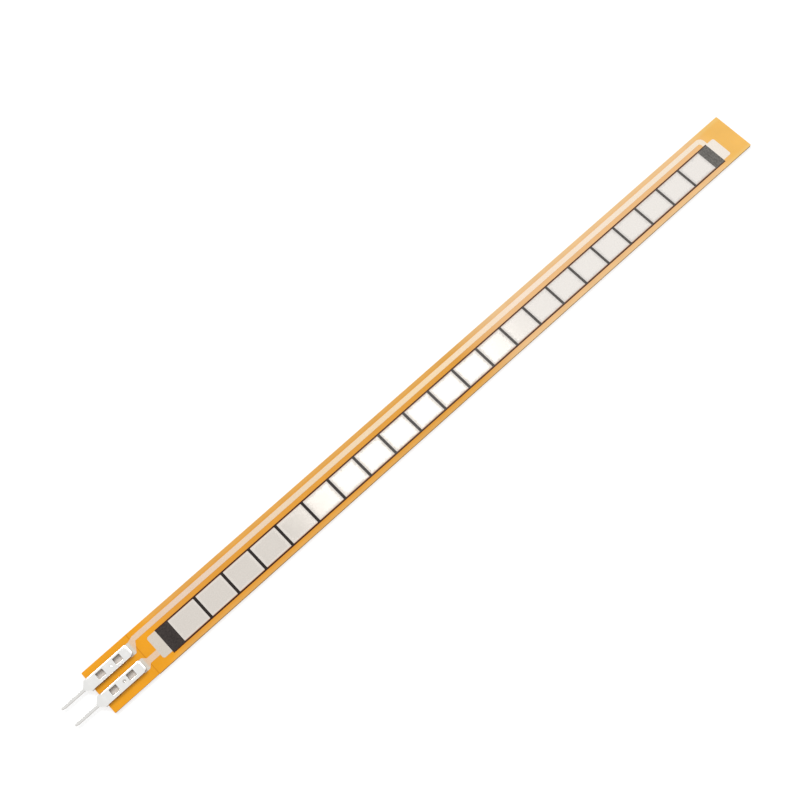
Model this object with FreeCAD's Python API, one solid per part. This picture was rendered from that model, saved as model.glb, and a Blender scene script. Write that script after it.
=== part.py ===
# Flex sensor: a bending strip that changes its resistance as it is flexed.
# An amber polyimide film carries a printed carbon strip, a row of silver squares on the carbon,
# and silver conductors. Two crimped contacts at the tail end give it its solder pins.
# Millimetres. X runs from the pins to the bare tip, Y across the film towards the return trace,
# Z up through the printed side. The origin is under the middle of the whole part, at its lowest face.

import FreeCAD, Part
import math
import os

os.makedirs("parts", exist_ok=True)

# Film
film_length = 112.24
film_width = 6.35
film_thickness = 0.20
film_corner_radius = 0.12
laminate_thickness = 0.20
laminate_start = 6.70

# Printed layers
silver_thickness = 0.015
carbon_thickness = 0.015

# Places across the film, from its +Y edge to its -Y edge
trace_edge_margin = 0.675
trace_width = 0.68
trace_gap = 0.645
carbon_edge_margin = 0.688
square_border = 0.19
electrode_high_border = 0.05
electrode_low_border = 0.30

# Places along the film, from its tail edge, and at the far end back from its tip
carbon_start = 9.46
near_bar_length = 1.84
tip_length = 3.04
near_electrode_length = 1.31
far_electrode_length = 1.50
electrode_overlap = 1.00
electrode_corner_radius = 0.30

# Silver squares
square_pitch = 4.318
square_gap = 0.381
square_corner_radius = 0.10
far_bar_shortest = 1.20

# Return trace where it turns down to the far electrode
turn_inner_reach = 0.46
turn_outer_reach = 0.32
turn_outer_radius = 1.15
turn_inner_radius = 0.30

# Silver pads under the contacts
pad_start = 0.25
pad_end = 6.25
pad_taper = 0.45
trace_taper = 0.80
pad_corner_radius = 0.15
link_width = 0.762

# Crimped contacts
contact_pitch = 2.54
contact_offset = 0.13
contact_width = 1.68
contact_height = 0.45
contact_sheet = 0.20
contact_overhang = 0.25
contact_far_end = 5.90
contact_corner_radius = 0.36
contact_edge_radius = 0.18
lip_setback = 0.45

# Windows, dimple and claws of a contact
first_window_x = 1.62
window_pitch = 2.54
window_count = 2
window_length = 1.03
window_width = 0.88
window_corner_radius = 0.08
dimple_x = 3.12
dimple_diameter = 0.44
dimple_depth = 0.09
claw_width = 0.84
claw_tip_width = 0.30
claw_tip_gap = 0.12
claw_tip_radius = 0.10
slit_clearance = 0.02

# Solder pins
pin_reach = 4.25
pin_width = 0.40
pin_drop = 0.35
pin_point_length = 0.45
pin_point_width = 0.18
neck_length = 0.66
neck_shoulder = 0.10
neck_bend_radius = 0.20

# Values worked out from the sizes above
overall_length = film_length + pin_reach
tail_x = pin_reach - overall_length / 2
film_z = max(laminate_thickness, contact_sheet)
print_z = film_z + film_thickness
carbon_z = print_z + silver_thickness
square_z = print_z + carbon_thickness
film_half = film_width / 2
trace_high = film_half - trace_edge_margin
trace_low = trace_high - trace_width
carbon_high = trace_low - trace_gap
carbon_low = carbon_edge_margin - film_half
carbon_end = film_length - tip_length - far_electrode_length
electrode_high = carbon_high - electrode_high_border
electrode_low = carbon_low + electrode_low_border
square_high = carbon_high - square_border
square_low = carbon_low + square_border
square_length = square_pitch - square_gap
squares_start = carbon_start + near_bar_length
squares_room = carbon_end - far_bar_shortest - squares_start
square_count = int((squares_room + square_gap) / square_pitch)
contact_half = contact_width / 2
return_y = contact_offset + contact_pitch / 2
feed_y = contact_offset - contact_pitch / 2
seat_z = print_z + silver_thickness
plate_top_z = seat_z + contact_height
plate_low_z = plate_top_z - contact_sheet
lip_end = contact_far_end - lip_setback
window_xs = [first_window_x + window_pitch * number for number in range(window_count)]


def plan(z):
    """Place of a plan-view point: along the film from its tail edge, and across it."""
    return lambda along, across: FreeCAD.Vector(tail_x + along, across, z)


def section(x):
    """Place of a point of a cross-section: across the film, and up."""
    return lambda across, up: FreeCAD.Vector(tail_x + x, across, up)


def side(y):
    """Place of a point of a side view: along the film from its tail edge, and up."""
    return lambda along, up: FreeCAD.Vector(tail_x + along, y, up)


def round_corner(before, corner, after):
    """Start, middle and end of the arc that rounds one corner, or the corner alone if it is sharp."""
    x, y, radius = corner
    back = (before[0] - x, before[1] - y)
    ahead = (after[0] - x, after[1] - y)
    back_length = math.hypot(*back)
    ahead_length = math.hypot(*ahead)
    if radius <= 0:
        return [(x, y)]
    u = (back[0] / back_length, back[1] / back_length)
    v = (ahead[0] / ahead_length, ahead[1] / ahead_length)
    half_angle = math.acos(u[0] * v[0] + u[1] * v[1]) / 2
    shorter = min(back_length, ahead_length)
    tangent = min(radius / math.tan(half_angle), 0.49 * shorter)
    radius = tangent * math.tan(half_angle)
    middle = (u[0] + v[0], u[1] + v[1])
    middle_length = math.hypot(*middle)
    inset = radius / math.sin(half_angle) - radius
    return [
        (x + u[0] * tangent, y + u[1] * tangent),
        (x + middle[0] / middle_length * inset, y + middle[1] / middle_length * inset),
        (x + v[0] * tangent, y + v[1] * tangent),
    ]


def outline(corners, place):
    """Flat face inside corners given as (first, second, radius), set in space by place."""
    count = len(corners)
    rounded = []
    for number, corner in enumerate(corners):
        rounded.append(round_corner(corners[number - 1], corner, corners[(number + 1) % count]))
    edges = []
    for number, points in enumerate(rounded):
        following = rounded[(number + 1) % count]
        if len(points) == 3:
            edges.append(Part.Arc(*[place(*point) for point in points]).toShape())
        edges.append(Part.LineSegment(place(*points[-1]), place(*following[0])).toShape())
    return Part.Face(Part.Wire(edges))


def rectangle(low_x, high_x, low_y, high_y, radius):
    """Corners of a rectangle, all rounded alike."""
    return [
        (low_x, low_y, radius),
        (high_x, low_y, radius),
        (high_x, high_y, radius),
        (low_x, high_y, radius),
    ]


def sheet(corners, z, thickness):
    """A flat layer: an outline seen in plan, thickened upwards from z."""
    return outline(corners, plan(z)).extrude(FreeCAD.Vector(0, 0, thickness))


def joined(first, others):
    """One clean solid from pieces of the same material that meet."""
    shape = first.multiFuse(others).removeSplitter()
    return shape.Solids[0] if len(shape.Solids) == 1 else shape


def contact_slits(contact_y):
    """The cuts that the claws of one contact make through the print and the film."""
    half_length = claw_width / 2 + slit_clearance
    outer = contact_half + slit_clearance
    inner = contact_half - contact_sheet - slit_clearance
    depth = film_thickness + 2 * silver_thickness
    slits = []
    for window_x in window_xs:
        for sense in (-1, 1):
            edges = sorted((contact_y + sense * outer, contact_y + sense * inner))
            corners = rectangle(window_x - half_length, window_x + half_length, *edges, 0)
            slits.append(sheet(corners, film_z, depth))
    return slits


def base_film():
    """The amber film that carries the prints, slit where the claws go through it."""
    corners = rectangle(0, film_length, -film_half, film_half, film_corner_radius)
    film = sheet(corners, film_z, film_thickness)
    return film.cut(contact_slits(return_y) + contact_slits(feed_y))


def back_laminate():
    """The second film on the back, from just past the contacts to the tip."""
    corners = [
        (laminate_start, -film_half, 0),
        (film_length, -film_half, film_corner_radius),
        (film_length, film_half, film_corner_radius),
        (laminate_start, film_half, 0),
    ]
    return sheet(corners, film_z - laminate_thickness, laminate_thickness)


def contact_pad(contact_y, neck_low, neck_high, taper):
    """A silver pad under a contact, drawn in at its far end to the line that leaves it."""
    return sheet(
        [
            (pad_start, contact_y - contact_half, pad_corner_radius),
            (pad_end, contact_y - contact_half, pad_corner_radius),
            (pad_end + taper, neck_low, 0),
            (pad_end + taper, neck_high, 0),
            (pad_end, contact_y + contact_half, pad_corner_radius),
            (pad_start, contact_y + contact_half, pad_corner_radius),
        ],
        print_z,
        silver_thickness,
    )


def electrode(low_x, high_x):
    """A silver end electrode, part of which lies under the carbon."""
    corners = rectangle(low_x, high_x, electrode_low, electrode_high, electrode_corner_radius)
    return sheet(corners, print_z, silver_thickness)


def feed_print():
    """Pad, link and near electrode, printed in one."""
    link_low = feed_y - link_width / 2
    link_high = feed_y + link_width / 2
    electrode_x = carbon_start - near_electrode_length
    pad = contact_pad(feed_y, link_low, link_high, pad_taper)
    link_end = electrode_x + electrode_corner_radius
    link_corners = rectangle(pad_end + pad_taper, link_end, link_low, link_high, 0)
    link = sheet(link_corners, print_z, silver_thickness)
    end = electrode(electrode_x, carbon_start + electrode_overlap)
    return joined(pad, [link, end]).cut(contact_slits(feed_y))


def return_print():
    """Pad, return trace and far electrode, printed in one."""
    pad = contact_pad(return_y, trace_low, trace_high, trace_taper)
    inner_x = carbon_end - turn_inner_reach
    outer_x = carbon_end + turn_outer_reach
    leg_low = electrode_high - electrode_corner_radius
    trace = sheet(
        [
            (pad_end + trace_taper, trace_low, 0),
            (inner_x, trace_low, turn_inner_radius),
            (inner_x, leg_low, 0),
            (outer_x, leg_low, 0),
            (outer_x, trace_high, turn_outer_radius),
            (pad_end + trace_taper, trace_high, 0),
        ],
        print_z,
        silver_thickness,
    )
    end = electrode(carbon_end - electrode_overlap, carbon_end + far_electrode_length)
    return joined(pad, [trace, end]).cut(contact_slits(return_y))


def carbon_strip():
    """The carbon print: flat on the film, and one step up where it covers the electrodes."""
    step_in = carbon_start + electrode_overlap
    step_out = carbon_end - electrode_overlap
    level_low = print_z
    level_high = print_z + carbon_thickness
    raised_low = carbon_z
    raised_high = carbon_z + carbon_thickness
    profile = [
        (carbon_start, raised_low, 0),
        (step_in, raised_low, 0),
        (step_in, level_low, 0),
        (step_out, level_low, 0),
        (step_out, raised_low, 0),
        (carbon_end, raised_low, 0),
        (carbon_end, raised_high, 0),
        (step_out - silver_thickness, raised_high, 0),
        (step_out - silver_thickness, level_high, 0),
        (step_in + silver_thickness, level_high, 0),
        (step_in + silver_thickness, raised_high, 0),
        (carbon_start, raised_high, 0),
    ]
    return outline(profile, side(carbon_low)).extrude(FreeCAD.Vector(0, carbon_high - carbon_low, 0))


def silver_square(number):
    """One of the silver squares that shorten the carbon path between them."""
    start = squares_start + square_pitch * number
    corners = rectangle(start, start + square_length, square_low, square_high, square_corner_radius)
    return sheet(corners, square_z, silver_thickness)


def contact_body(contact_y):
    """The top plate with its two long edges folded down onto the pad, and its windows."""
    start = -contact_overhang
    rounded_section = [
        (contact_y - contact_half, seat_z, 0),
        (contact_y + contact_half, seat_z, 0),
        (contact_y + contact_half, plate_top_z, contact_edge_radius),
        (contact_y - contact_half, plate_top_z, contact_edge_radius),
    ]
    length = FreeCAD.Vector(contact_far_end - start, 0, 0)
    bar = outline(rounded_section, section(start)).extrude(length)
    plan_corners = [
        (start, contact_y - contact_half, 0),
        (contact_far_end, contact_y - contact_half, contact_corner_radius),
        (contact_far_end, contact_y + contact_half, contact_corner_radius),
        (start, contact_y + contact_half, 0),
    ]
    body = bar.common(sheet(plan_corners, seat_z, contact_height))
    lip_inner = contact_half - contact_sheet
    hollow_height = contact_height - contact_sheet
    hollow = sheet(
        rectangle(start, contact_far_end, contact_y - lip_inner, contact_y + lip_inner, 0),
        seat_z,
        hollow_height,
    )
    end_cut = sheet(
        rectangle(lip_end, contact_far_end, contact_y - contact_half, contact_y + contact_half, 0),
        seat_z,
        hollow_height,
    )
    windows = []
    for window_x in window_xs:
        corners = rectangle(
            window_x - window_length / 2,
            window_x + window_length / 2,
            contact_y - window_width / 2,
            contact_y + window_width / 2,
            window_corner_radius,
        )
        windows.append(sheet(corners, seat_z, contact_height))
    return body.cut([hollow, end_cut] + windows)


def contact_pin(contact_y):
    """The sheet beyond the body: it tapers and dips to the flat solder pin, which ends in a point."""
    start = -contact_overhang
    neck_end = start - neck_length
    tip = -pin_reach
    pin_top_z = plate_top_z - pin_drop
    pin_low_z = pin_top_z - contact_sheet
    slope = math.atan2(pin_drop, neck_length)
    shift = contact_sheet * math.tan(slope / 2)
    outer_bend_radius = neck_bend_radius + contact_sheet
    profile = [
        (start, plate_top_z, 0),
        (start - shift, plate_top_z, outer_bend_radius),
        (neck_end - shift, pin_top_z, neck_bend_radius),
        (tip, pin_top_z, 0),
        (tip, pin_low_z, 0),
        (neck_end, pin_low_z, outer_bend_radius),
        (start, plate_low_z, 0),
    ]
    bent = outline(profile, side(contact_y - contact_half)).extrude(FreeCAD.Vector(0, contact_width, 0))
    shoulder = contact_half - neck_shoulder
    half = pin_width / 2
    point = pin_point_width / 2
    plan_corners = [
        (start, contact_y - shoulder, 0),
        (start, contact_y + shoulder, 0),
        (neck_end, contact_y + half, neck_bend_radius),
        (tip + pin_point_length, contact_y + half, 0),
        (tip, contact_y + point, 0),
        (tip, contact_y - point, 0),
        (tip + pin_point_length, contact_y - half, 0),
        (neck_end, contact_y - half, neck_bend_radius),
    ]
    depth = plate_top_z - pin_low_z
    return bent.common(sheet(plan_corners, pin_low_z, depth))


def contact_claw(contact_y, window_x, sense):
    """One claw: down from a folded edge, through the film, and clinched flat against its back."""
    outer = contact_half
    tip = claw_tip_gap / 2
    low = film_z - contact_sheet
    profile = [
        (contact_y + sense * outer, seat_z, 0),
        (contact_y + sense * outer, low, contact_sheet),
        (contact_y + sense * tip, low, 0),
        (contact_y + sense * tip, film_z, 0),
        (contact_y + sense * (outer - contact_sheet), film_z, 0),
        (contact_y + sense * (outer - contact_sheet), seat_z, 0),
    ]
    start = window_x - claw_width / 2
    bent = outline(profile, section(start)).extrude(FreeCAD.Vector(claw_width, 0, 0))
    straight = contact_y + sense * (outer - contact_sheet)
    plan_corners = [
        (window_x - claw_width / 2, contact_y + sense * outer, 0),
        (window_x + claw_width / 2, contact_y + sense * outer, 0),
        (window_x + claw_width / 2, straight, 0),
        (window_x + claw_tip_width / 2, contact_y + sense * tip, claw_tip_radius),
        (window_x - claw_tip_width / 2, contact_y + sense * tip, claw_tip_radius),
        (window_x - claw_width / 2, straight, 0),
    ]
    return bent.common(sheet(plan_corners, low, seat_z - low))


def dimpled(shape, contact_y):
    """The shape with a round dimple pressed down into its top plate."""
    rim = dimple_diameter / 2
    inner_radius = (rim ** 2 + dimple_depth ** 2) / (2 * dimple_depth)
    centre = FreeCAD.Vector(tail_x + dimple_x, contact_y, plate_top_z - dimple_depth + inner_radius)
    outer_ball = Part.makeSphere(inner_radius + contact_sheet, centre)
    under_plate = sheet(
        rectangle(dimple_x - rim, dimple_x + rim, contact_y - rim, contact_y + rim, 0),
        plate_low_z - dimple_depth,
        contact_sheet,
    )
    pressed = shape.fuse(outer_ball.common(under_plate))
    return pressed.cut(Part.makeSphere(inner_radius, centre))


def crimp_contact(contact_y):
    """One crimped contact, folded from a single stamped sheet."""
    pieces = [contact_pin(contact_y)]
    for window_x in window_xs:
        for sense in (-1, 1):
            pieces.append(contact_claw(contact_y, window_x, sense))
    return joined(dimpled(contact_body(contact_y), contact_y), pieces)


def save(node, shape):
    """Write one sub-part and say how large it is."""
    solid = shape.Solids[0] if len(shape.Solids) == 1 else shape
    solid.exportStep(os.path.join("parts", node + ".step"))
    print(f"{node}: {len(shape.Solids)} solid, {shape.Volume:.4f} mm3, valid {shape.isValid()}")


save("base_film", base_film())
save("back_laminate", back_laminate())
save("carbon_strip", carbon_strip())
save("feed_print", feed_print())
save("return_print", return_print())
for square_number in range(square_count):
    save(f"silver_square_{square_number + 1:02d}", silver_square(square_number))
save("crimp_contact_return", crimp_contact(return_y))
save("crimp_contact_feed", crimp_contact(feed_y))
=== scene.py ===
# %% [markdown]
# # A flex sensor
# The object is a bending strip: an amber plastic film, a black carbon print along it, a row of silver
# squares on the carbon, a silver line that leads back along one side, and two crimped metal contacts with
# solder pins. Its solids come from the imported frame, in metres. This script gives each of them its real
# finish, and models the two contacts in finer detail than the solids hold.

# %% Load the frame
import math

import bmesh
import bpy
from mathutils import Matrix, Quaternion, Vector


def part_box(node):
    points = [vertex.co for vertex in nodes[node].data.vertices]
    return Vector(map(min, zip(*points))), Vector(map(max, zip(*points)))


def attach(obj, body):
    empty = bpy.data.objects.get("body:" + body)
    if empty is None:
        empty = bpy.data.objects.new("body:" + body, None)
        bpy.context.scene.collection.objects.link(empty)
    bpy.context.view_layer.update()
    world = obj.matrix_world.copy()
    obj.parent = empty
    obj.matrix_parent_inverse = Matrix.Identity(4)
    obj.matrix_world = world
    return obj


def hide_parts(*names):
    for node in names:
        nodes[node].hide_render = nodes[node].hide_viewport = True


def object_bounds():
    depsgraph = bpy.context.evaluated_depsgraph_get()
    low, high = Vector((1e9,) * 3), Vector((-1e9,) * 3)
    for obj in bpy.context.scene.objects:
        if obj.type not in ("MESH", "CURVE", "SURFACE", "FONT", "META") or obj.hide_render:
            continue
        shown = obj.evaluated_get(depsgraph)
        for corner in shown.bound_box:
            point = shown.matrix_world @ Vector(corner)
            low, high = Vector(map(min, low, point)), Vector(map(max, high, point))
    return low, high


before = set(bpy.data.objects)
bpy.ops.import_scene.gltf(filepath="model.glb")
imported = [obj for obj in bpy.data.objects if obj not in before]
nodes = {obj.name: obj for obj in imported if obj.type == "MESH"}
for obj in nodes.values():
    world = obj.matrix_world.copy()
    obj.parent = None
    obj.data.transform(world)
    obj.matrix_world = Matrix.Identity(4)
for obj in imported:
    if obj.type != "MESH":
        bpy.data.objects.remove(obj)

MM = 0.001
cad_low, cad_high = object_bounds()
print("CAD box in mm:", [round(value / MM, 3) for value in (*cad_low, *cad_high)])

# %% [markdown]
# ## Places along the sensor
# The finishes need to know where things are: where the back laminate starts, and what lies over it. All
# of it is read from the boxes of the CAD nodes, so the pattern follows the model if a size changes.

# %% Read the places from the frame
film_low, film_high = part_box("base_film")
laminate_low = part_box("back_laminate")[0]
carbon_low, carbon_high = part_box("carbon_strip")
feed_low, feed_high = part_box("feed_print")
return_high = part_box("return_print")[1]
square_names = sorted(name for name in nodes if name.startswith("silver_square"))
first_low, first_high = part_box(square_names[0])
second_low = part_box(square_names[1])[0]
print("squares:", len(square_names), "pitch in mm:", round((second_low.x - first_low.x) / MM, 3))

# %% [markdown]
# ## The camera
# The photograph looks down at the strip from its near corner, from close by, so the far end is drawn
# smaller. The camera's place, its aim and its lens were solved from the strip's four corners and the lines
# between the squares, so that the render lies over the photograph.

# %% Set the camera
CAMERA_PLACE = Vector((-48.22, -45.99, 157.79)) * MM
CAMERA_AIM = Vector((-3.05, 2.57, 0.40)) * MM
CAMERA_ROLL = math.radians(-0.68)
CAMERA_LENS = 60.53
CAMERA_NEAREST = 0.01

bpy.ops.object.camera_add(location=CAMERA_PLACE)
camera = bpy.context.object
camera.name = "camera"
camera.rotation_mode = "QUATERNION"
straight = (CAMERA_AIM - CAMERA_PLACE).to_track_quat("-Z", "Y")
camera.rotation_quaternion = straight @ Quaternion((0, 0, 1), CAMERA_ROLL)
camera.data.lens = CAMERA_LENS
camera.data.clip_start = CAMERA_NEAREST
bpy.context.scene.camera = camera
bpy.context.scene.view_settings.view_transform = "Standard"
print("camera distance in mm:", round((CAMERA_AIM - CAMERA_PLACE).length / MM, 1))

# %% [markdown]
# ## Helpers for modelling
# Blender's modelling operators act on all that is selected, so a piece is opened for editing alone, and
# what an operator shall act on is picked by its place. The contacts are less than 2 mm wide. Blender's
# tools have limits of their own near a tenth of a millimetre, so a contact is modelled with one unit to
# the millimetre, and brought to its true size as the last step. Two places that are less than NEAR apart
# count as the same.

# %% Make helpers for modelling
NEAR = 0.001
CUT_THRESHOLD = 0.0001


def only(piece):
    """Select one object and nothing else."""
    bpy.ops.object.select_all(action="DESELECT")
    piece.select_set(True)
    bpy.context.view_layer.objects.active = piece


def pick(piece, kind, test):
    """In edit mode, select the vertices, edges or faces that pass a test of their middle and their ends."""
    bpy.ops.mesh.select_mode(type=kind)
    bpy.ops.mesh.select_all(action="DESELECT")
    mesh = bmesh.from_edit_mesh(piece.data)
    elements = {"VERT": mesh.verts, "EDGE": mesh.edges, "FACE": mesh.faces}[kind]
    count = 0
    for element in elements:
        ends = [element.co] if kind == "VERT" else [vertex.co for vertex in element.verts]
        middle = sum(ends, Vector()) / len(ends)
        if test(middle, ends):
            element.select_set(True)
            count += 1
    mesh.select_flush_mode()
    bmesh.update_edit_mesh(piece.data)
    return count


def extrude(shift):
    """Pull the picked edges or faces out by a shift."""
    bpy.ops.mesh.extrude_region_move(TRANSFORM_OT_translate={"value": shift})


def cut_line(place, normal):
    """Cut the whole mesh along a plane, so that edges run there."""
    bpy.ops.mesh.select_all(action="SELECT")
    bpy.ops.mesh.bisect(plane_co=place, plane_no=normal, threshold=CUT_THRESHOLD)


def finish_with(piece, kind, **settings):
    """Add a modifier with its settings and apply it."""
    modifier = piece.modifiers.new(kind.lower(), kind)
    for name, value in settings.items():
        setattr(modifier, name, value)
    only(piece)
    bpy.ops.object.modifier_apply(modifier=modifier.name)


def cut_away(piece, tool):
    """Take the shape of a tool out of a piece, and throw the tool away."""
    finish_with(piece, "BOOLEAN", operation="DIFFERENCE", object=tool, solver="EXACT")
    bpy.data.objects.remove(tool)


# %% [markdown]
# ## The crimp contacts
# A contact is one strip of thin metal. It is cut out flat, its long edges are folded down onto the print,
# and four claws go on down through the film and are pressed flat against its back. At the tail it narrows
# and dips to a flat solder pin. It could be carved from a block, but folding a sheet is how the real one
# is made, and it keeps the metal equally thick all over: a plane at the middle of the metal is extruded,
# its folds are rounded, and Solidify gives it its thickness.

# %% Cut out the sheet
TAIL_X = film_low.x / MM
CONTACT_Y = {"feed": -1.14, "return": 1.40}
PLATE_HALF = 0.74
PLATE_START = TAIL_X - 0.25
PLATE_END = TAIL_X + 5.90
PLATE_Z = 0.765
LIP_END = TAIL_X + 5.45
WINDOW_X = (TAIL_X + 1.62, TAIL_X + 4.16)
CLAW_HALF = 0.42

middle_y = CONTACT_Y["feed"]
bpy.ops.object.select_all(action="DESELECT")
bpy.ops.mesh.primitive_plane_add(
    size=1,
    location=((PLATE_START + PLATE_END) / 2, middle_y, PLATE_Z),
)
contact = bpy.context.object
contact.name = "contact_feed"
contact.scale = (PLATE_END - PLATE_START, 2 * PLATE_HALF, 1)
only(contact)
bpy.ops.object.transform_apply(location=True, rotation=False, scale=True)
bpy.ops.object.mode_set(mode="EDIT")
claw_edges = [window + side * CLAW_HALF for window in WINDOW_X for side in (-1, 1)]
for cut_x in (*claw_edges, LIP_END):
    cut_line((cut_x, 0, 0), (1, 0, 0))
print("lines cut across the sheet:", len(claw_edges) + 1)

# %% Fold its long edges down
SEAT_Z = 0.415
CLAW_Z = 0.10


def on_long_edge(middle, ends):
    """Whether an edge is one of the long edges that are folded down."""
    return abs(abs(middle.y - middle_y) - PLATE_HALF) < NEAR and middle.x < LIP_END


def above_claw(middle, ends):
    """Whether an edge is the lower end of a fold, where a claw goes on down."""
    in_claw = any(abs(middle.x - window) < CLAW_HALF for window in WINDOW_X)
    return in_claw and all(end.z < SEAT_Z + NEAR for end in ends)


lips = pick(contact, "EDGE", on_long_edge)
extrude((0, 0, SEAT_Z - PLATE_Z))
claws = pick(contact, "EDGE", above_claw)
extrude((0, 0, CLAW_Z - SEAT_Z))
print("edges folded down:", lips, "claws:", claws)

# %% Turn the claws in under the film
CLAW_TIP_HALF = 0.15
CLAW_TIP_Y = 0.06


def below_claw(window, side):
    """A test for the lower end of the claw at a window, on the side -1 or 1."""
    def is_this_claw(middle, ends):
        """Whether an edge is the lower end of this claw."""
        low = all(abs(end.z - CLAW_Z) < NEAR for end in ends)
        return low and abs(middle.x - window) < NEAR and (middle.y - middle_y) * side > 0

    return is_this_claw


for window in WINDOW_X:
    for side in (-1, 1):
        turned = pick(contact, "EDGE", below_claw(window, side))
        extrude((0, -side * (PLATE_HALF - CLAW_TIP_Y), 0))
        tip = (window, middle_y + side * CLAW_TIP_Y, CLAW_Z)
        bpy.ops.transform.resize(value=(CLAW_TIP_HALF / CLAW_HALF, 1, 1), center_override=tip)
        print("claw turned in at x", round(window, 2), "side", side, "edges:", turned)

# %% Draw out the neck and the pin
NECK_END = PLATE_START - 0.66
PIN_Z = PLATE_Z - 0.35
PIN_HALF = 0.20
PIN_POINT_START = TAIL_X - 3.80
PIN_POINT_HALF = 0.09
PIN_END = TAIL_X - 4.25


def at_plate_start(middle, ends):
    """Whether an edge is the end of the plate at the tail."""
    return abs(middle.x - PLATE_START) < NEAR and middle.z > PLATE_Z - NEAR


pick(contact, "EDGE", at_plate_start)
extrude((NECK_END - PLATE_START, 0, PIN_Z - PLATE_Z))
bpy.ops.transform.resize(value=(1, PIN_HALF / PLATE_HALF, 1), center_override=(NECK_END, middle_y, PIN_Z))
extrude((PIN_POINT_START - NECK_END, 0, 0))
extrude((PIN_END - PIN_POINT_START, 0, 0))
bpy.ops.transform.resize(value=(1, PIN_POINT_HALF / PIN_HALF, 1), center_override=(PIN_END, middle_y, PIN_Z))
print("the pin reaches past the film by, in mm:", round(TAIL_X - PIN_END, 2))

# %% Round the corners and the folds
CORNER_ROUNDING = 0.28
CORNER_STEPS = 6
FOLD_ROUNDING = 0.09
FOLD_STEPS = 5
NECK_ROUNDING = 0.10
NECK_STEPS = 4
MERGE_THRESHOLD = 0.0005


def at_plate_end(middle, ends):
    """Whether a vertex is one of the two corners at the end of the plate."""
    return abs(middle.x - PLATE_END) < NEAR


def on_fold(height):
    """A test for the long edges of the folds at one height."""
    def is_on_fold(middle, ends):
        """Whether an edge runs along one side of the contact at this height."""
        on_side = all(abs(abs(end.y - middle_y) - PLATE_HALF) < NEAR for end in ends)
        in_fold = all(abs(end.z - height) < NEAR and end.x < LIP_END + NEAR for end in ends)
        return on_side and in_fold and abs(ends[0].y - ends[1].y) < NEAR

    return is_on_fold


def across_neck(middle, ends):
    """Whether an edge runs across the contact where the neck bends."""
    bends = any(all(abs(end.x - bend) < NEAR for end in ends) for bend in (PLATE_START, NECK_END))
    return bends and abs(ends[0].y - ends[1].y) > PIN_HALF


def round_off(kind, test, rounding, steps):
    """Round the corners or folds that pass a test, and return how many they are."""
    count = pick(contact, kind, test)
    affect = "VERTICES" if kind == "VERT" else "EDGES"
    bpy.ops.mesh.bevel(offset=rounding, segments=steps, affect=affect, clamp_overlap=False)
    return count


corners = round_off("VERT", at_plate_end, CORNER_ROUNDING, CORNER_STEPS)
folds = round_off("EDGE", on_fold(PLATE_Z), FOLD_ROUNDING, FOLD_STEPS)
claw_folds = round_off("EDGE", on_fold(CLAW_Z), FOLD_ROUNDING, FOLD_STEPS)
neck_folds = round_off("EDGE", across_neck, NECK_ROUNDING, NECK_STEPS)
bpy.ops.mesh.select_all(action="SELECT")
bpy.ops.mesh.remove_doubles(threshold=MERGE_THRESHOLD)
bpy.ops.mesh.normals_make_consistent(inside=False)
bpy.ops.object.mode_set(mode="OBJECT")
print("corners:", corners, "folds:", folds, claw_folds, neck_folds)

# %% Give the sheet its thickness
METAL = 0.20

finish_with(contact, "SOLIDIFY", thickness=METAL, offset=0, use_even_offset=True, use_quality_normals=True)
for axis, label in enumerate("xyz"):
    places = [vertex.co[axis] for vertex in contact.data.vertices]
    print("contact", label, "from", round(min(places), 3), "to", round(max(places), 3))

# %% [markdown]
# ## Windows and dimple
# The windows are punched through the plate, and a round dimple is pressed into it between them. A punch is
# a cube with its upright edges rounded. The rims of a stamped sheet are never sharp, so a narrow bevel runs
# along every edge, which is what gives the contact its bright outline. The dimple is cut with a ball, whose
# size follows from the width and the depth of the dimple.

# %% Punch the windows
WINDOW_LENGTH = 1.03
WINDOW_WIDTH = 0.88
WINDOW_CORNER = 0.08
WINDOW_CORNER_STEPS = 3
PUNCH_HEIGHT = 0.45


def upright(middle, ends):
    """Whether an edge stands upright."""
    return abs(ends[0].z - ends[1].z) > NEAR


for window in WINDOW_X:
    bpy.ops.object.select_all(action="DESELECT")
    bpy.ops.mesh.primitive_cube_add(size=1, location=(window, middle_y, PLATE_Z))
    punch = bpy.context.object
    punch.scale = (WINDOW_LENGTH, WINDOW_WIDTH, PUNCH_HEIGHT)
    only(punch)
    bpy.ops.object.transform_apply(location=True, rotation=False, scale=True)
    bpy.ops.object.mode_set(mode="EDIT")
    pick(punch, "EDGE", upright)
    bpy.ops.mesh.bevel(offset=WINDOW_CORNER, segments=WINDOW_CORNER_STEPS, affect="EDGES")
    bpy.ops.object.mode_set(mode="OBJECT")
    cut_away(contact, punch)
print("faces after punching:", len(contact.data.polygons))

# %% Break the edges
EDGE_WIDTH = 0.022
EDGE_STEPS = 2
SHARP_ANGLE = math.radians(40)
PLATE_TOP = PLATE_Z + METAL / 2

finish_with(
    contact,
    "BEVEL",
    width=EDGE_WIDTH,
    segments=EDGE_STEPS,
    limit_method="ANGLE",
    angle_limit=SHARP_ANGLE,
    use_clamp_overlap=False,
)
bpy.ops.object.mode_set(mode="EDIT")
raised = pick(contact, "VERT", lambda middle, ends: middle.z > PLATE_TOP)
bpy.ops.transform.resize(value=(1, 1, 0), center_override=(0, 0, PLATE_TOP))
bpy.ops.object.mode_set(mode="OBJECT")
print("vertices brought level with the plate:", raised)

# %% Press the dimple
DIMPLE_X = TAIL_X + 3.12
DIMPLE_RADIUS = 0.22
DIMPLE_DEPTH = 0.13
BALL_SEGMENTS = 32
BALL_RINGS = 24

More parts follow.
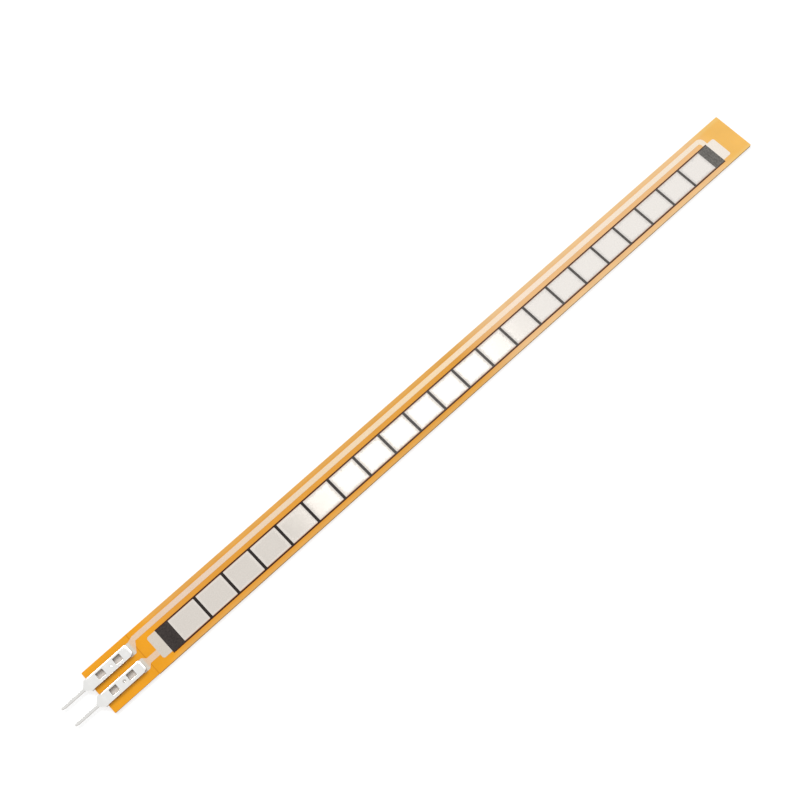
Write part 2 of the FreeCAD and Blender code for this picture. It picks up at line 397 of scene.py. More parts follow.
ball_radius = (DIMPLE_RADIUS ** 2 + DIMPLE_DEPTH ** 2) / (2 * DIMPLE_DEPTH)
ball_z = PLATE_TOP - DIMPLE_DEPTH + ball_radius
bpy.ops.object.select_all(action="DESELECT")
bpy.ops.mesh.primitive_uv_sphere_add(
    segments=BALL_SEGMENTS,
    ring_count=BALL_RINGS,
    radius=ball_radius,
    location=(DIMPLE_X, middle_y, ball_z),
)
cut_away(contact, bpy.context.object)
print("radius of the ball in mm:", round(ball_radius, 3))

# %% Bring the contact to its true size and copy it
SMOOTH_ANGLE = math.radians(32)

only(contact)
contact.scale = (MM, MM, MM)
bpy.ops.object.transform_apply(location=False, rotation=False, scale=True)
bpy.ops.object.shade_smooth_by_angle(angle=SMOOTH_ANGLE)
finish_with(contact, "WEIGHTED_NORMAL", keep_sharp=True)
bpy.ops.object.duplicate()
second_contact = bpy.context.object
second_contact.name = "contact_return"
bpy.ops.object.mode_set(mode="EDIT")
bpy.ops.mesh.select_all(action="SELECT")
bpy.ops.transform.translate(value=(0, (CONTACT_Y["return"] - CONTACT_Y["feed"]) * MM, 0))
bpy.ops.object.mode_set(mode="OBJECT")
contacts = {"crimp_contact_feed": contact, "crimp_contact_return": second_contact}
for node_name, piece in contacts.items():
    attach(piece, "root")
    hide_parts(node_name)
    print(piece.name, "triangles:", sum(len(face.vertices) - 2 for face in piece.data.polygons))

# %% [markdown]
# ## Helpers for node trees
# Every finish below is a tree of shader nodes. These helpers keep the trees short: one makes a node and
# sets its properties and inputs, one makes a material and hands back its Principled shader, and one starts
# a node group. The Mix node has sockets for numbers, vectors and colours side by side, so those for
# colours are found by their numbers.

# %% Make helpers for nodes
MIX_FACTOR = 0
MIX_COLOURS = (6, 7)
MIX_RESULT = 2


def feed(tree, socket, value):
    """Link a socket to another one, or give it a plain value."""
    if isinstance(value, bpy.types.NodeSocket):
        tree.links.new(value, socket)
    else:
        socket.default_value = value


def put(tree, kind, inputs=None, **properties):
    """Add a node, set its properties, then feed its inputs."""
    node = tree.nodes.new(kind)
    for name, value in properties.items():
        setattr(node, name, value)
    for name, value in (inputs or {}).items():
        feed(tree, node.inputs[name], value)
    return node


def maths(tree, operation, *values):
    """Add a Math node and return its output."""
    return put(tree, "ShaderNodeMath", dict(enumerate(values)), operation=operation).outputs[0]


def blend(tree, factor, first, second):
    """Mix two colours by a factor and return the mixed colour."""
    inputs = dict(zip((MIX_FACTOR, *MIX_COLOURS), (factor, first, second)))
    return put(tree, "ShaderNodeMix", inputs, data_type="RGBA").outputs[MIX_RESULT]


def scale(tree, vector, amount):
    """Multiply a colour or a place by an amount."""
    node = put(tree, "ShaderNodeVectorMath", {0: vector, "Scale": amount}, operation="SCALE")
    return node.outputs["Vector"]


def spread(tree, value, low, high, to_low, to_high, smooth=False):
    """Map a value from one range to another and return it."""
    inputs = {"Value": value, "From Min": low, "From Max": high, "To Min": to_low, "To Max": to_high}
    curve = "SMOOTHSTEP" if smooth else "LINEAR"
    return put(tree, "ShaderNodeMapRange", inputs, interpolation_type=curve).outputs["Result"]


# %% Make helpers for patterns
PLAIN_DETAIL = 2.0
FINE_DETAIL = 3.0
CLOUD_RANGE = (0.3, 0.7)
GRAIN_RANGE = (0.35, 0.65)


def noise(tree, place, per_mm, detail=PLAIN_DETAIL):
    """A cloudy pattern, mostly within CLOUD_RANGE, with so many clouds to the millimetre."""
    inputs = {"Vector": place, "Scale": per_mm, "Detail": detail}
    return put(tree, "ShaderNodeTexNoise", inputs).outputs["Fac"]


def millimetres(tree):
    """The object's own coordinates, in millimetres, so that scales read as so many to the millimetre."""
    coordinates = put(tree, "ShaderNodeTexCoord").outputs["Object"]
    return scale(tree, coordinates, 1 / MM)


def upward(tree):
    """How far the surface faces up: 1 on top, 0 on an upright side, and -1 underneath."""
    normal = put(tree, "ShaderNodeTexCoord").outputs["Normal"]
    return put(tree, "ShaderNodeSeparateXYZ", {"Vector": normal}).outputs["Z"]


# %% Make helpers for materials and groups
def new_material(name, **constants):
    """A material and its tree and Principled shader, with the constant inputs set."""
    material = bpy.data.materials.new(name)
    material.use_nodes = True
    tree = material.node_tree
    shader = tree.nodes["Principled BSDF"]
    for socket, value in constants.items():
        shader.inputs[socket.replace("_", " ")].default_value = value
    return material, tree, shader


def emboss(tree, shader, height, distance, strength):
    """Raise and lower the surface by a pattern. The distance is in metres."""
    bump = put(tree, "ShaderNodeBump", {"Height": height, "Distance": distance, "Strength": strength})
    tree.links.new(bump.outputs["Normal"], shader.inputs["Normal"])


def dress(names, material):
    """Give CAD nodes their finish."""
    for name in names:
        nodes[name].material_slots[0].material = material
    print(material.name, "on nodes:", len(names))


def new_group(name, inputs, outputs):
    """A shader node group, with float inputs and their default values, and float outputs."""
    tree = bpy.data.node_groups.new(name, "ShaderNodeTree")
    for socket_name, value in inputs.items():
        socket = tree.interface.new_socket(socket_name, in_out="INPUT", socket_type="NodeSocketFloat")
        socket.default_value = value
    for socket_name in outputs:
        tree.interface.new_socket(socket_name, in_out="OUTPUT", socket_type="NodeSocketFloat")
    return tree, tree.nodes.new("NodeGroupInput").outputs, tree.nodes.new("NodeGroupOutput")


def place_group(tree, group, **inputs):
    """Place a node group in a material and return its outputs."""
    node = tree.nodes.new("ShaderNodeGroup")
    node.node_tree = group
    for name, value in inputs.items():
        feed(tree, node.inputs[name.replace("_", " ")], value)
    return node.outputs


# %% [markdown]
# ## Shared effects
# Several effects turn up in more than one finish, so each is a node group. Printed ink has a fine grain
# from the powder in it, and a faint weave from the screen that it was pressed through. A field is a
# soft-edged mask over a box, and a spot is one over a disc: they say where a finish changes. The cut edge
# mask marks the upright faces: a cut edge is duller than the face beside it, and the film and the contacts
# get painted shade there. A print is thinner near its own edge.

# %% Make the ink grain group
grain_group, grain_in, grain_out = new_group("Ink grain", {"Size": 0.2, "Clumps": 1.5}, ["Grain", "Patches"])
place = millimetres(grain_group)
fine_scale = maths(grain_group, "DIVIDE", 1.0, grain_in["Size"])
patch_scale = maths(grain_group, "DIVIDE", 1.0, grain_in["Clumps"])
grain_group.links.new(noise(grain_group, place, fine_scale, FINE_DETAIL), grain_out.inputs["Grain"])
grain_group.links.new(noise(grain_group, place, patch_scale), grain_out.inputs["Patches"])

# %% Make the screen weave group
weave_group, weave_in, weave_out = new_group("Screen weave", {"Threads per mm": 5.0}, ["Height"])
place = millimetres(weave_group)
waves = []
for direction in ("X", "Y"):
    wave = put(
        weave_group,
        "ShaderNodeTexWave",
        {"Vector": place, "Scale": weave_in["Threads per mm"], "Distortion": 0.4, "Detail": 1.0},
        bands_direction=direction,
    )
    waves.append(wave.outputs["Fac"])
weave_group.links.new(maths(weave_group, "MULTIPLY", *waves), weave_out.inputs["Height"])

# %% Make the field group
field_group, field_in, field_out = new_group(
    "Field", {"Low X": 0.0, "High X": 1.0, "Low Y": 0.0, "High Y": 1.0, "Softness": 0.1}, ["Mask"]
)
split = put(field_group, "ShaderNodeSeparateXYZ", {"Vector": millimetres(field_group)}).outputs
reaches = []
for axis in ("X", "Y"):
    from_low = maths(field_group, "SUBTRACT", split[axis], field_in["Low " + axis])
    from_high = maths(field_group, "SUBTRACT", field_in["High " + axis], split[axis])
    reaches.append(maths(field_group, "MINIMUM", from_low, from_high))
inside = maths(field_group, "MINIMUM", *reaches)
half_soft = maths(field_group, "MULTIPLY", field_in["Softness"], 0.5)
minus_half = maths(field_group, "MULTIPLY", half_soft, -1.0)
mask = spread(field_group, inside, minus_half, half_soft, 0.0, 1.0, smooth=True)
field_group.links.new(mask, field_out.inputs["Mask"])

# %% Make the spot group
spot_group, spot_in, spot_out = new_group(
    "Spot", {"X": 0.0, "Y": 0.0, "Radius": 0.2, "Softness": 0.05}, ["Mask"]
)
split = put(spot_group, "ShaderNodeSeparateXYZ", {"Vector": millimetres(spot_group)}).outputs
off_x = maths(spot_group, "SUBTRACT", split["X"], spot_in["X"])
off_y = maths(spot_group, "SUBTRACT", split["Y"], spot_in["Y"])
square_x = maths(spot_group, "MULTIPLY", off_x, off_x)
square_y = maths(spot_group, "MULTIPLY", off_y, off_y)
distance = maths(spot_group, "SQRT", maths(spot_group, "ADD", square_x, square_y))
inner = maths(spot_group, "SUBTRACT", spot_in["Radius"], spot_in["Softness"])
mask = spread(spot_group, distance, inner, spot_in["Radius"], 1.0, 0.0, smooth=True)
spot_group.links.new(mask, spot_out.inputs["Mask"])

# %% Make the cut edge group
CUT_FADE = 0.25

edge_group, edge_in, edge_out = new_group("Cut edge", {"Steepness": 0.5}, ["Mask"])
facing = maths(edge_group, "ABSOLUTE", upward(edge_group))
upper = maths(edge_group, "ADD", edge_in["Steepness"], CUT_FADE)
mask = spread(edge_group, facing, edge_in["Steepness"], upper, 1.0, 0.0)
edge_group.links.new(mask, edge_out.inputs["Mask"])

# %% Make the print edge group
RAGGED_PER_MM = 2.6
RAGGED_RANGE = (-0.12, 0.12)

print_edge_group, print_in, print_out = new_group(
    "Print edge",
    {"Start X": 0.0, "Pitch": 4.0, "Length": 4.0, "Low Y": 0.0, "High Y": 1.0, "Reach": 0.3},
    ["Mask"],
)
place = millimetres(print_edge_group)
split = put(print_edge_group, "ShaderNodeSeparateXYZ", {"Vector": place}).outputs
along = maths(print_edge_group, "SUBTRACT", split["X"], print_in["Start X"])
from_start = maths(print_edge_group, "FLOORED_MODULO", along, print_in["Pitch"])
from_end = maths(print_edge_group, "SUBTRACT", print_in["Length"], from_start)
from_low = maths(print_edge_group, "SUBTRACT", split["Y"], print_in["Low Y"])
from_high = maths(print_edge_group, "SUBTRACT", print_in["High Y"], split["Y"])
from_ends = maths(print_edge_group, "MINIMUM", from_start, from_end)
from_sides = maths(print_edge_group, "MINIMUM", from_low, from_high)
inside = maths(print_edge_group, "MINIMUM", from_ends, from_sides)
ragged = noise(print_edge_group, place, RAGGED_PER_MM, FINE_DETAIL)
ragged = spread(print_edge_group, ragged, *CLOUD_RANGE, *RAGGED_RANGE)
inside = maths(print_edge_group, "ADD", inside, ragged)
mask = spread(print_edge_group, inside, 0.0, print_in["Reach"], 0.0, 1.0, smooth=True)
print_edge_group.links.new(mask, print_out.inputs["Mask"])
print("groups:", [group.name for group in bpy.data.node_groups])

# %% [markdown]
# ## The amber film
# Both films are polyimide, a glossy amber plastic. It is a little cloudy, so what lies behind it shows only
# as a soft shade: the edge of the back laminate shows on the front as a thin line, and the prints show from
# behind. The film is a deep orange at the tail and a clearer yellow at its bare tip. Its paler tone over the
# far half is a painted sheen. Past the tail its long edges are a little paler than its middle. The upright
# cut faces of both films carry painted shade. Glass with coloured absorption was the other choice, but the
# real film is far from clear. Each colour that changes along the strip is a ramp, with its stops in
# millimetres from the tail.

# %% Make helpers for changes along the strip
PAST = 9.0


def along_strip(tree, stops):
    """A colour that changes along the strip. A stop is a place, in mm from the tail, and a colour."""
    strip_length = (film_high.x - film_low.x) / MM
    x = put(tree, "ShaderNodeSeparateXYZ", {"Vector": millimetres(tree)}).outputs["X"]
    share = spread(tree, x, film_low.x / MM, film_high.x / MM, 0.0, 1.0)
    ramp = put(tree, "ShaderNodeValToRGB", {"Fac": share})
    elements = ramp.color_ramp.elements
    ready = len(elements)
    for number, (place, tone) in enumerate(stops):
        element = elements[number] if number < ready else elements.new(place / strip_length)
        element.position = place / strip_length
        element.color = tone
    return ramp.outputs["Color"]


def add_tint(tree, colour, tint, amount):
    """A colour with an amount of a tint added to it."""
    added = scale(tree, tint, amount)
    return put(tree, "ShaderNodeVectorMath", {0: colour, 1: added}, operation="ADD").outputs["Vector"]


def field(tree, low_x, high_x, low_y, high_y, softness):
    """A soft-edged mask over a box given in millimetres. PAST is well past every side of the strip."""
    box = place_group(
        tree,
        field_group,
        Low_X=low_x,
        High_X=high_x,
        Low_Y=low_y,
        High_Y=high_y,
        Softness=softness,
    )
    return box["Mask"]


# %% Make the amber film
# The paler stops over the far half, from 68 mm on, are a painted sheen.
FILM_TONES_AND_SHEEN = (
    (9.0, (0.965, 0.400, 0.012, 1)),
    (11.5, (0.860, 0.372, 0.042, 1)),
    (32.0, (0.855, 0.372, 0.038, 1)),
    (60.0, (0.815, 0.364, 0.036, 1)),
    (68.0, (0.915, 0.535, 0.235, 1)),
    (106.0, (0.945, 0.553, 0.243, 1)),
    (109.0, (1.000, 0.560, 0.130, 1)),
)
FILM_IOR = 1.30
FILM_ROUGHNESS = (0.16, 0.24)
CLOUDS_PER_MM = 0.35
CLOUD_SHADES = (0.95, 1.03)
RIPPLES_PER_MM = 1.4
RIPPLE_HEIGHT = 0.000004
RIPPLE_STRENGTH = 0.6
EDGE_GLOW = (0.0, 0.055, 0.048)
GLOW_WIDTHS = (0.35, 0.52)
GLOW_SOFTNESS = 0.5
GLOW_START = 9.0
GLOW_FADE = 2.0
AMBER_SIDE_SHADE = (0.420, 0.200, 0.040, 1)
AMBER_SIDE_SHADE_SHARE = 0.7
AMBER_CUT_DULLNESS = 0.3


def edge_glow(tree):
    """A mask over the paler long edges of the film, from a place past the contacts on."""
    middle = field(
        tree,
        film_low.x / MM - PAST,
        film_high.x / MM + PAST,
        film_low.y / MM + GLOW_WIDTHS[0],
        film_high.y / MM - GLOW_WIDTHS[1],
        GLOW_SOFTNESS,
    )
    past_tail = field(tree, TAIL_X + GLOW_START, film_high.x / MM + PAST, -PAST, PAST, GLOW_FADE)
    return maths(tree, "MULTIPLY", maths(tree, "SUBTRACT", 1.0, middle), past_tail)


def film_material(name):
    """Amber film: its tones along the strip with a painted sheen, its ripple, and its duller cut edges with
    painted shade.
    """
    material, tree, shader = new_material(name, IOR=FILM_IOR)
    place = millimetres(tree)
    clouds = spread(tree, noise(tree, place, CLOUDS_PER_MM, FINE_DETAIL), *CLOUD_RANGE, *CLOUD_SHADES)
    colour = add_tint(tree, along_strip(tree, FILM_TONES_AND_SHEEN), EDGE_GLOW, edge_glow(tree))
    colour = scale(tree, colour, clouds)
    # Upright faces are blended toward a darker amber: painted shade.
    cut = place_group(tree, edge_group, Steepness=0.4)["Mask"]
    colour = blend(tree, maths(tree, "MULTIPLY", cut, AMBER_SIDE_SHADE_SHARE), colour, AMBER_SIDE_SHADE)
    ripple = noise(tree, place, RIPPLES_PER_MM)
    gloss = spread(tree, ripple, *CLOUD_RANGE, *FILM_ROUGHNESS)
    roughness = maths(tree, "MULTIPLY_ADD", cut, AMBER_CUT_DULLNESS, gloss)
    tree.links.new(roughness, shader.inputs["Roughness"])
    emboss(tree, shader, ripple, RIPPLE_HEIGHT, RIPPLE_STRENGTH)
    return material, tree, shader, colour


# %% Paint the base film
AMBER_LINE = (0.560, 0.170, 0.002, 1)
LINE_WIDTH = 0.10
LINE_SHARE = 0.55
FACES_UP = (0.5, 0.8)

film, tree, shader, colour = film_material("amber_film")
line_x = laminate_low.x / MM
line = field(tree, line_x - LINE_WIDTH, line_x, -PAST, PAST, LINE_WIDTH)
on_top = spread(tree, upward(tree), *FACES_UP, 0.0, 1.0)
line = maths(tree, "MULTIPLY", line, maths(tree, "MULTIPLY", on_top, LINE_SHARE))
tree.links.new(blend(tree, line, colour, AMBER_LINE), shader.inputs["Base Color"])
dress(["base_film"], film)

# %% Paint the back laminate
BEHIND_SILVER = (0.880, 0.520, 0.130, 1)
BEHIND_SILVER_SHARE = 0.7
BEHIND_CARBON = (0.175, 0.062, 0.003, 1)
BEHIND_CARBON_SHARE = 0.85
BEHIND_SOFTNESS = 0.25
FACES_DOWN = (-0.5, -0.8)
TRACE_LOW = 1.82
TRACE_END_GAP = 0.9
ELECTRODE_LENGTHS = (2.31, 2.50)


def over_electrodes(tree, low_y, softness):
    """A mask over the two electrodes, each at the far end of its print."""
    masks = [
        field(tree, high.x / MM - length, high.x / MM, low_y, feed_high.y / MM, softness)
        for high, length in zip((feed_high, return_high), ELECTRODE_LENGTHS)
    ]
    return maths(tree, "MAXIMUM", *masks)


film_back, tree, shader, colour = film_material("amber_film_back")
underneath = spread(tree, upward(tree), *FACES_DOWN, 0.0, 1.0)
trace_end = return_high.x / MM - TRACE_END_GAP
trace = field(tree, feed_low.x / MM, trace_end, TRACE_LOW, return_high.y / MM, BEHIND_SOFTNESS)
silver = maths(tree, "MAXIMUM", trace, over_electrodes(tree, feed_low.y / MM, BEHIND_SOFTNESS))
silver = maths(tree, "MULTIPLY", silver, maths(tree, "MULTIPLY", underneath, BEHIND_SILVER_SHARE))
colour = blend(tree, silver, colour, BEHIND_SILVER)
dark = field(
    tree,
    carbon_low.x / MM,
    carbon_high.x / MM,
    carbon_low.y / MM,
    carbon_high.y / MM,
    BEHIND_SOFTNESS,
)
dark = maths(tree, "MULTIPLY", dark, maths(tree, "MULTIPLY", underneath, BEHIND_CARBON_SHARE))
tree.links.new(blend(tree, dark, colour, BEHIND_CARBON), shader.inputs["Base Color"])
dress(["back_laminate"], film_back)

# %% [markdown]
# ## The carbon print
# The resistor is a matte black ink full of carbon powder. Close up it is a dark grey with a fine grain, and
# it takes a soft sheen from a broad light. It is darkest over its first third, and its greyer tone beyond is
# a painted sheen. The thin borders that it leaves beside the squares look brown, because the ink thins out
# there over the film.

# %% Paint the carbon
# From 44 mm on the tones are greyer: a painted sheen.
CARBON_TONES_AND_SHEEN = (
    (11.3, (0.045, 0.035, 0.032, 1)),
    (13.0, (0.022, 0.015, 0.013, 1)),
    (34.0, (0.024, 0.018, 0.017, 1)),
    (44.0, (0.098, 0.090, 0.085, 1)),
    (103.0, (0.105, 0.096, 0.091, 1)),
    (106.5, (0.166, 0.157, 0.144, 1)),
)
CARBON_RIM = (0.060, 0.004, 0.000, 1)
CARBON_IOR = 1.25
CARBON_GRAIN = (0.7, 1.3)
CARBON_ROUGHNESS = (0.24, 0.32)
RIM_SOFTNESS = 0.08
INK_HEIGHT = 0.000006
CARBON_STRENGTH = 0.6


def over_squares(tree, below, above):
    """A mask over the row of squares that reaches past its lower and its upper edge by so much."""
    return field(
        tree,
        carbon_low.x / MM - PAST,
        carbon_high.x / MM + PAST,
        first_low.y / MM - below,
        first_high.y / MM + above,
        RIM_SOFTNESS,
    )


carbon, tree, shader = new_material("carbon_ink", IOR=CARBON_IOR)
ink = place_group(tree, grain_group, Size=0.16, Clumps=2.0)
grain = spread(tree, ink["Grain"], *GRAIN_RANGE, *CARBON_GRAIN)
core = over_squares(tree, RIM_SOFTNESS, RIM_SOFTNESS)
colour = blend(tree, core, CARBON_RIM, along_strip(tree, CARBON_TONES_AND_SHEEN))
tree.links.new(scale(tree, colour, grain), shader.inputs["Base Color"])
tree.links.new(spread(tree, ink["Patches"], *CLOUD_RANGE, *CARBON_ROUGHNESS), shader.inputs["Roughness"])
emboss(tree, shader, ink["Grain"], INK_HEIGHT, CARBON_STRENGTH)
dress(["carbon_strip"], carbon)

# %% [markdown]
# ## The silver prints
# Silver ink is a paste of flakes: pale, a little warm, between matte and metallic. A square is printed
# thinner along its rim, and there it shines less. Its long edges are brownish, because the carbon and the
# film show through the thin ink. The long line and the pads lie straight on the film, and take some of its
# amber. The line and the pads grow lighter toward the far end, which is a painted sheen, and the pads under
# the contact windows are lighter still, which is painted light.

# %% Make the silver ink
SILVER_GRAIN = (1.04, 0.95)
WEAVE_SHARE = 0.4
SILVER_STRENGTH = 0.5


def silver_material(name, relief, index):
    """Screen-printed silver: the relief of its grain and weave, its patches and its grain's shade."""
    material, tree, shader = new_material(name, IOR=index)
    ink = place_group(tree, grain_group, Size=0.14, Clumps=1.6)
    weave = place_group(tree, weave_group, Threads_per_mm=4.0)
    grain = spread(tree, ink["Grain"], *GRAIN_RANGE, *SILVER_GRAIN)
    height = maths(tree, "MULTIPLY_ADD", weave["Height"], WEAVE_SHARE, ink["Grain"])
    emboss(tree, shader, height, relief, SILVER_STRENGTH)
    return material, tree, shader, ink["Patches"], grain


# %% Paint the silver squares
SQUARE_TONES = (
    (12.0, (0.802, 0.744, 0.682, 1)),
    (60.0, (0.826, 0.776, 0.712, 1)),
    (75.0, (0.795, 0.757, 0.715, 1)),
)
SQUARE_RIM = (0.600, 0.240, 0.080, 1)
SQUARE_RIM_WIDTHS = (0.06, 0.04)
SQUARE_IOR = 1.5
SQUARE_RELIEF = 0.0000015
SQUARE_METALLIC = (0.05, 0.45)
SQUARE_ROUGHNESS = (0.07, 0.10)
THIN_REACH = 0.45
THIN_SHADE = 0.93
THIN_DULLNESS = 0.25

squares, tree, shader, patches, grain = silver_material("silver_squares", SQUARE_RELIEF, SQUARE_IOR)
full = place_group(
    tree,
    print_edge_group,
    Start_X=first_low.x / MM,
    Pitch=(second_low.x - first_low.x) / MM,
    Length=(first_high.x - first_low.x) / MM,
    Low_Y=first_low.y / MM,
    High_Y=first_high.y / MM,
    Reach=THIN_REACH,
)["Mask"]
thin = maths(tree, "MULTIPLY", grain, spread(tree, full, 0.0, 1.0, THIN_SHADE, 1.0))
core = over_squares(tree, -SQUARE_RIM_WIDTHS[0], -SQUARE_RIM_WIDTHS[1])
colour = blend(tree, core, SQUARE_RIM, along_strip(tree, SQUARE_TONES))
tree.links.new(scale(tree, colour, thin), shader.inputs["Base Color"])
tree.links.new(spread(tree, full, 0.0, 1.0, *SQUARE_METALLIC), shader.inputs["Metallic"])
dull = spread(tree, full, 0.0, 1.0, THIN_DULLNESS, 0.0)
roughness = maths(tree, "ADD", dull, spread(tree, patches, *CLOUD_RANGE, *SQUARE_ROUGHNESS))
tree.links.new(roughness, shader.inputs["Roughness"])
dress(square_names, squares)

# %% Paint the silver line and pads
# The lighter stops toward the far end are a painted sheen.
LINE_TONES_AND_SHEEN = (
    (7.0, (0.830, 0.600, 0.415, 1)),
    (14.0, (0.840, 0.640, 0.500, 1)),
    (34.0, (0.885, 0.690, 0.475, 1)),
    (55.0, (0.950, 0.735, 0.465, 1)),
    (72.0, (0.995, 0.810, 0.640, 1)),
    (106.0, (1.000, 0.860, 0.685, 1)),
)
# The light first stop, under the windows, is painted light, and the light far electrode is a painted sheen.
PAD_TONES_AND_LIGHT = (
    (5.6, (0.850, 0.775, 0.705, 1)),
    (6.1, (0.760, 0.720, 0.640, 1)),
    (8.5, (0.712, 0.645, 0.560, 1)),
    (100.0, (0.975, 0.890, 0.790, 1)),
)
LINE_IOR = 1.35
LINE_METALLIC = 0.08
LINE_ROUGHNESS = (0.24, 0.34)
PADS_LENGTH = 6.3
PAD_SOFTNESS = 0.3
ELECTRODE_SOFTNESS = 0.2

line_silver, tree, shader, patches, grain = silver_material("silver_conductor", INK_HEIGHT, LINE_IOR)
pads = field(tree, TAIL_X, TAIL_X + PADS_LENGTH, -PAST, PAST, PAD_SOFTNESS)
thick = maths(tree, "MAXIMUM", pads, over_electrodes(tree, -PAST, ELECTRODE_SOFTNESS))
colour = blend(tree, thick, along_strip(tree, LINE_TONES_AND_SHEEN), along_strip(tree, PAD_TONES_AND_LIGHT))
tree.links.new(scale(tree, colour, grain), shader.inputs["Base Color"])
shader.inputs["Metallic"].default_value = LINE_METALLIC
tree.links.new(spread(tree, patches, *CLOUD_RANGE, *LINE_ROUGHNESS), shader.inputs["Roughness"])
dress(["feed_print", "return_print"], line_silver)

# %% [markdown]
# ## The contacts' finish
# The contacts are tin plated: bright, slightly cloudy, and nearly white under soft light. Their upright
# faces, the window walls among them, are darker and duller, and the darkness is painted shade. The dimples
# are darker and duller too, from painted shade, strongly in the feed contact's and faintly in the return
# contact's. The pins are a little darker than the plates. The cloudiness is a slow change of roughness, and
# not of colour.

# %% Paint the contacts
TIN = (0.975, 0.970, 0.950, 1)
TIN_DARK = (0.270, 0.220, 0.175, 1)
TIN_ROUGHNESS = (0.08, 0.15)
TIN_HEIGHT = 0.0000012
TIN_STRENGTH = 0.4
UPRIGHT_SHADE = 0.8
PIN_DARKENING = 0.12
PIN_SOFTNESS = 0.3
DIMPLE_SHADE = {"feed": 0.45, "return": 0.05}
DIMPLE_SOFTNESS = 0.06
SHADED_DULLNESS = 0.3

tin, tree, shader = new_material("tinned_contact", Metallic=1.0)
ink = place_group(tree, grain_group, Size=0.12, Clumps=0.5)
cut = place_group(tree, edge_group, Steepness=0.3)["Mask"]
dimples = []
for side, contact_y in CONTACT_Y.items():
    spot = place_group(
        tree,
        spot_group,
        X=DIMPLE_X,
        Y=contact_y,
        Radius=DIMPLE_RADIUS,
        Softness=DIMPLE_SOFTNESS,
    )["Mask"]
    dimples.append(maths(tree, "MULTIPLY", spot, DIMPLE_SHADE[side]))
pins = field(tree, PIN_END - PAST, NECK_END, -PAST, PAST, PIN_SOFTNESS)
# Upright faces and the dimples are darkened toward a dark tin tone: painted shade.
painted_shade = maths(tree, "MAXIMUM", maths(tree, "MULTIPLY", cut, UPRIGHT_SHADE), maths(tree, "MAXIMUM", *dimples))
tone = blend(tree, maths(tree, "MULTIPLY", pins, PIN_DARKENING), TIN, TIN_DARK)
tree.links.new(blend(tree, painted_shade, tone, TIN_DARK), shader.inputs["Base Color"])
cloudy = spread(tree, ink["Patches"], *CLOUD_RANGE, *TIN_ROUGHNESS)
tree.links.new(maths(tree, "MULTIPLY_ADD", painted_shade, SHADED_DULLNESS, cloudy), shader.inputs["Roughness"])
emboss(tree, shader, ink["Grain"], TIN_HEIGHT, TIN_STRENGTH)
for piece in contacts.values():
    piece.data.materials.append(tin)
print(tin.name, "on pieces:", [piece.name for piece in contacts.values()])

# %% [markdown]
# ## Floor and light
# The photograph is a cut-out on white. The sensor lies on a plain white floor here, in a white surrounding.
# The floor is brightened for the camera and for mirrored rays only, so it shows white and keeps the
# sensor's own shadow, and nothing more falls on the sensor.

# %% Make the floor
FLOOR_SIZE = 4.0
FLOOR_DROP = 0.00001
FLOOR_TONE = (0.48, 0.48, 0.48, 1)
FLOOR_LIFT = 0.67

bpy.ops.object.select_all(action="DESELECT")
bpy.ops.mesh.primitive_plane_add(size=FLOOR_SIZE, location=(0, 0, -FLOOR_DROP))
floor = bpy.context.object
floor.name = "floor"
paper, tree, shader = new_material(
    "white_floor",
    Base_Color=FLOOR_TONE,
    Roughness=1.0,
    Specular_IOR_Level=0.0,
)
shader.inputs["Emission Color"].default_value = (1, 1, 1, 1)
rays = put(tree, "ShaderNodeLightPath").outputs
seen = maths(tree, "MAXIMUM", rays["Is Camera Ray"], rays["Is Glossy Ray"])
tree.links.new(maths(tree, "MULTIPLY", seen, FLOOR_LIFT), shader.inputs["Emission Strength"])
floor.data.materials.append(paper)
print("floor size in metres:", FLOOR_SIZE)

# %% [markdown]
# ## The lights
# A bright square panel stands behind the strip and gives the contacts their bright far edges and the soft
# shadows. Two panels hang over the strip, facing down. The camera sees each of them mirrored in one stretch
# of the strip: a bright one makes the middle squares shine white, and a weaker one lays a sheen over the
# far half. Where a panel has to hang for that follows from the camera's place, as with a billiard ball that
# bounces off the strip. A light panel of 4 watts to the square metre has a brightness of 1.

# %% Light the surroundings
WORLD_ON_OBJECT = 0.62
WORLD_IN_GLOSS = 0.82
WORLD_SEEN = 1.0

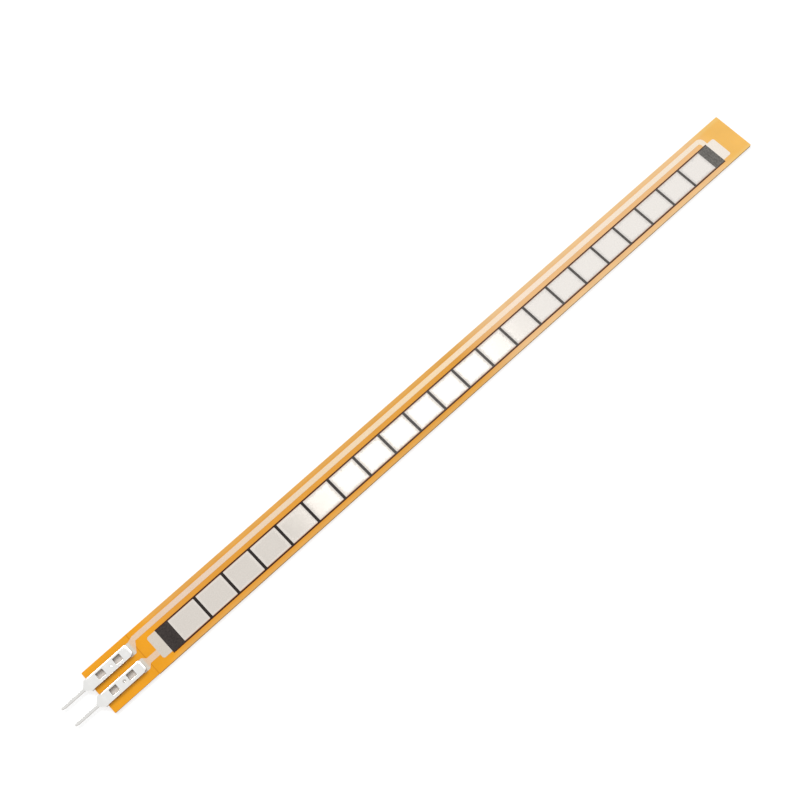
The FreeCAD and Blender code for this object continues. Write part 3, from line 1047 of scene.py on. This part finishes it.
world = bpy.data.worlds.new("white_surrounding")
world.use_nodes = True
bpy.context.scene.world = world
tree = world.node_tree
rays = put(tree, "ShaderNodeLightPath").outputs
in_gloss = spread(tree, rays["Is Glossy Ray"], 0.0, 1.0, WORLD_ON_OBJECT, WORLD_IN_GLOSS)
strength = maths(tree, "MAXIMUM", in_gloss, maths(tree, "MULTIPLY", rays["Is Camera Ray"], WORLD_SEEN))
tree.nodes["Background"].inputs["Color"].default_value = (1, 1, 1, 1)
tree.links.new(strength, tree.nodes["Background"].inputs["Strength"])
print("world:", world.name)

# %% Hang the light panels
BEHIND_PLACE = Vector((-0.04, 0.44, 0.52))
BEHIND_SIZE = 0.30
BEHIND_BRIGHTNESS = 4.9
CEILING = 0.60
CEILING_DEPTH = 0.16
MIDDLE_BRIGHTNESS = 0.95
TIP_BRIGHTNESS = 0.35
WATTS_PER_SQUARE_METRE = 4


def light_panel(name, place, size_x, size_y, brightness):
    """A light panel at a place. Its brightness is what a mirror shows of it, on top of the surrounding."""
    bpy.ops.object.light_add(type="AREA", location=place)
    light = bpy.context.object
    light.name = name
    light.data.shape = "RECTANGLE"
    light.data.size = size_x
    light.data.size_y = size_y
    light.data.energy = WATTS_PER_SQUARE_METRE * brightness * size_x * size_y
    print(name, "watts:", round(light.data.energy, 3))
    return light


def panel_over(name, low_x, high_x, brightness):
    """A panel that faces down, mirrored to the camera by the stretch of the strip between two places."""
    reach = 1 + CEILING / CAMERA_PLACE.z
    seen_low = CAMERA_PLACE.x + (low_x - CAMERA_PLACE.x) * reach
    seen_high = CAMERA_PLACE.x + (high_x - CAMERA_PLACE.x) * reach
    seen_y = CAMERA_PLACE.y - CAMERA_PLACE.y * reach
    place = ((seen_low + seen_high) / 2, seen_y, CEILING)
    return light_panel(name, place, seen_high - seen_low, CEILING_DEPTH, brightness)


behind = light_panel("light_from_behind", BEHIND_PLACE, BEHIND_SIZE, BEHIND_SIZE, BEHIND_BRIGHTNESS)
behind.rotation_mode = "QUATERNION"
behind.rotation_quaternion = (-BEHIND_PLACE).to_track_quat("-Z", "Y")
middle_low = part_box("silver_square_06")[0].x
middle_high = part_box("silver_square_13")[1].x
panel_over("light_over_the_middle", middle_low, middle_high, MIDDLE_BRIGHTNESS)
panel_over("light_over_the_tip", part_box("silver_square_14")[0].x, cad_high.x, TIP_BRIGHTNESS)
